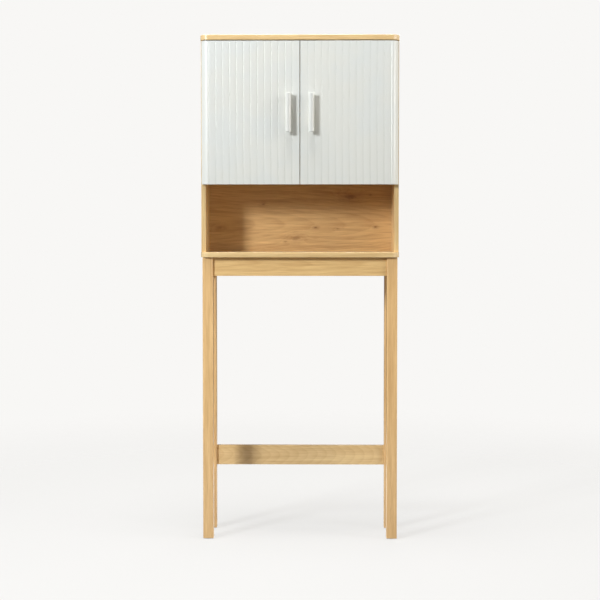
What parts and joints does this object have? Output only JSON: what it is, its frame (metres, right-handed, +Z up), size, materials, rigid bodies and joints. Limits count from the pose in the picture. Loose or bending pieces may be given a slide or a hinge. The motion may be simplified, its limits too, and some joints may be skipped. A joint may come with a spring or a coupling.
{
  "type": "over-the-toilet storage rack",
  "caption": "Tall free-standing bathroom rack: grooved double-door cabinet over an open shelf, on long square legs that straddle a toilet.",
  "frame": {"origin": "on the floor, under the middle of the rack's bounding box, handles included", "axes": "+Z up, -Y towards the doors' front, +X to the right as seen from the front"},
  "size_m": [0.66, 0.224, 1.68],
  "materials": {
    "oak_board": "satin natural oak laminate, grain along the length",
    "oak_back": "satin natural oak laminate with small knots",
    "oak_rail": "satin natural oak laminate, grain along the length",
    "oak_leg": "satin natural oak, straight vertical grain",
    "door_paint": "off-white satin paint on board",
    "handle_paint": "white semi-gloss powder coat",
    "steel": "nickel-plated steel fittings",
    "nylon": "matte natural nylon",
    "bumper": "soft translucent-white bumper"
  },
  "bodies": {
    "rack": {"top_board": "oak_board", "lower_board": "oak_board", "cabinet_floor": "oak_board", "inner_shelf": "oak_board", "back_panel": "oak_back", "front_apron": "oak_rail", "rear_apron": "oak_rail", "rear_stretcher": "oak_rail", "left_side_panel": "oak_board", "left_side_rail": "oak_rail", "left_door_bumper": "bumper", "left_wall_bracket": "steel", "left_lower_hinge_arm": "steel", "left_lower_hinge_plate": "steel", "left_upper_hinge_arm": "steel", "left_upper_hinge_plate": "steel", "front_left_shelf_pin": "steel", "front_left_cam": "steel", "rear_left_shelf_pin": "steel", "rear_left_cam": "steel", "front_left_leg": "oak_leg", "front_left_leg_stud": "steel", "front_left_foot_glide": "nylon", "rear_left_leg": "oak_leg", "rear_left_leg_stud": "steel", "rear_left_foot_glide": "nylon", "right_side_panel": "oak_board", "right_side_rail": "oak_rail", "right_door_bumper": "bumper", "right_wall_bracket": "steel", "right_lower_hinge_arm": "steel", "right_lower_hinge_plate": "steel", "right_upper_hinge_arm": "steel", "right_upper_hinge_plate": "steel", "front_right_shelf_pin": "steel", "front_right_cam": "steel", "rear_right_shelf_pin": "steel", "rear_right_cam": "steel", "front_right_leg": "oak_leg", "front_right_leg_stud": "steel", "front_right_foot_glide": "nylon", "rear_right_leg": "oak_leg", "rear_right_leg_stud": "steel", "rear_right_foot_glide": "nylon"},
    "left_door": {"left_door": "door_paint", "left_handle": "handle_paint", "left_handle_lower_screw": "steel", "left_handle_upper_screw": "steel", "left_lower_hinge_cup": "steel", "left_upper_hinge_cup": "steel"},
    "right_door": {"right_door": "door_paint", "right_handle": "handle_paint", "right_handle_lower_screw": "steel", "right_handle_upper_screw": "steel", "right_lower_hinge_cup": "steel", "right_upper_hinge_cup": "steel"}
  },
  "joints": [
    {"name": "left_door_hinge", "type": "hinge", "parent": "rack", "child": "left_door", "pos_m": [-0.31845, -0.0766, 1.4235], "axis": [0, 0, -1], "range_deg": [0, 95]},
    {"name": "right_door_hinge", "type": "hinge", "parent": "rack", "child": "right_door", "pos_m": [0.31845, -0.0766, 1.4235], "axis": [0, 0, 1], "range_deg": [0, 95]}
  ]
}
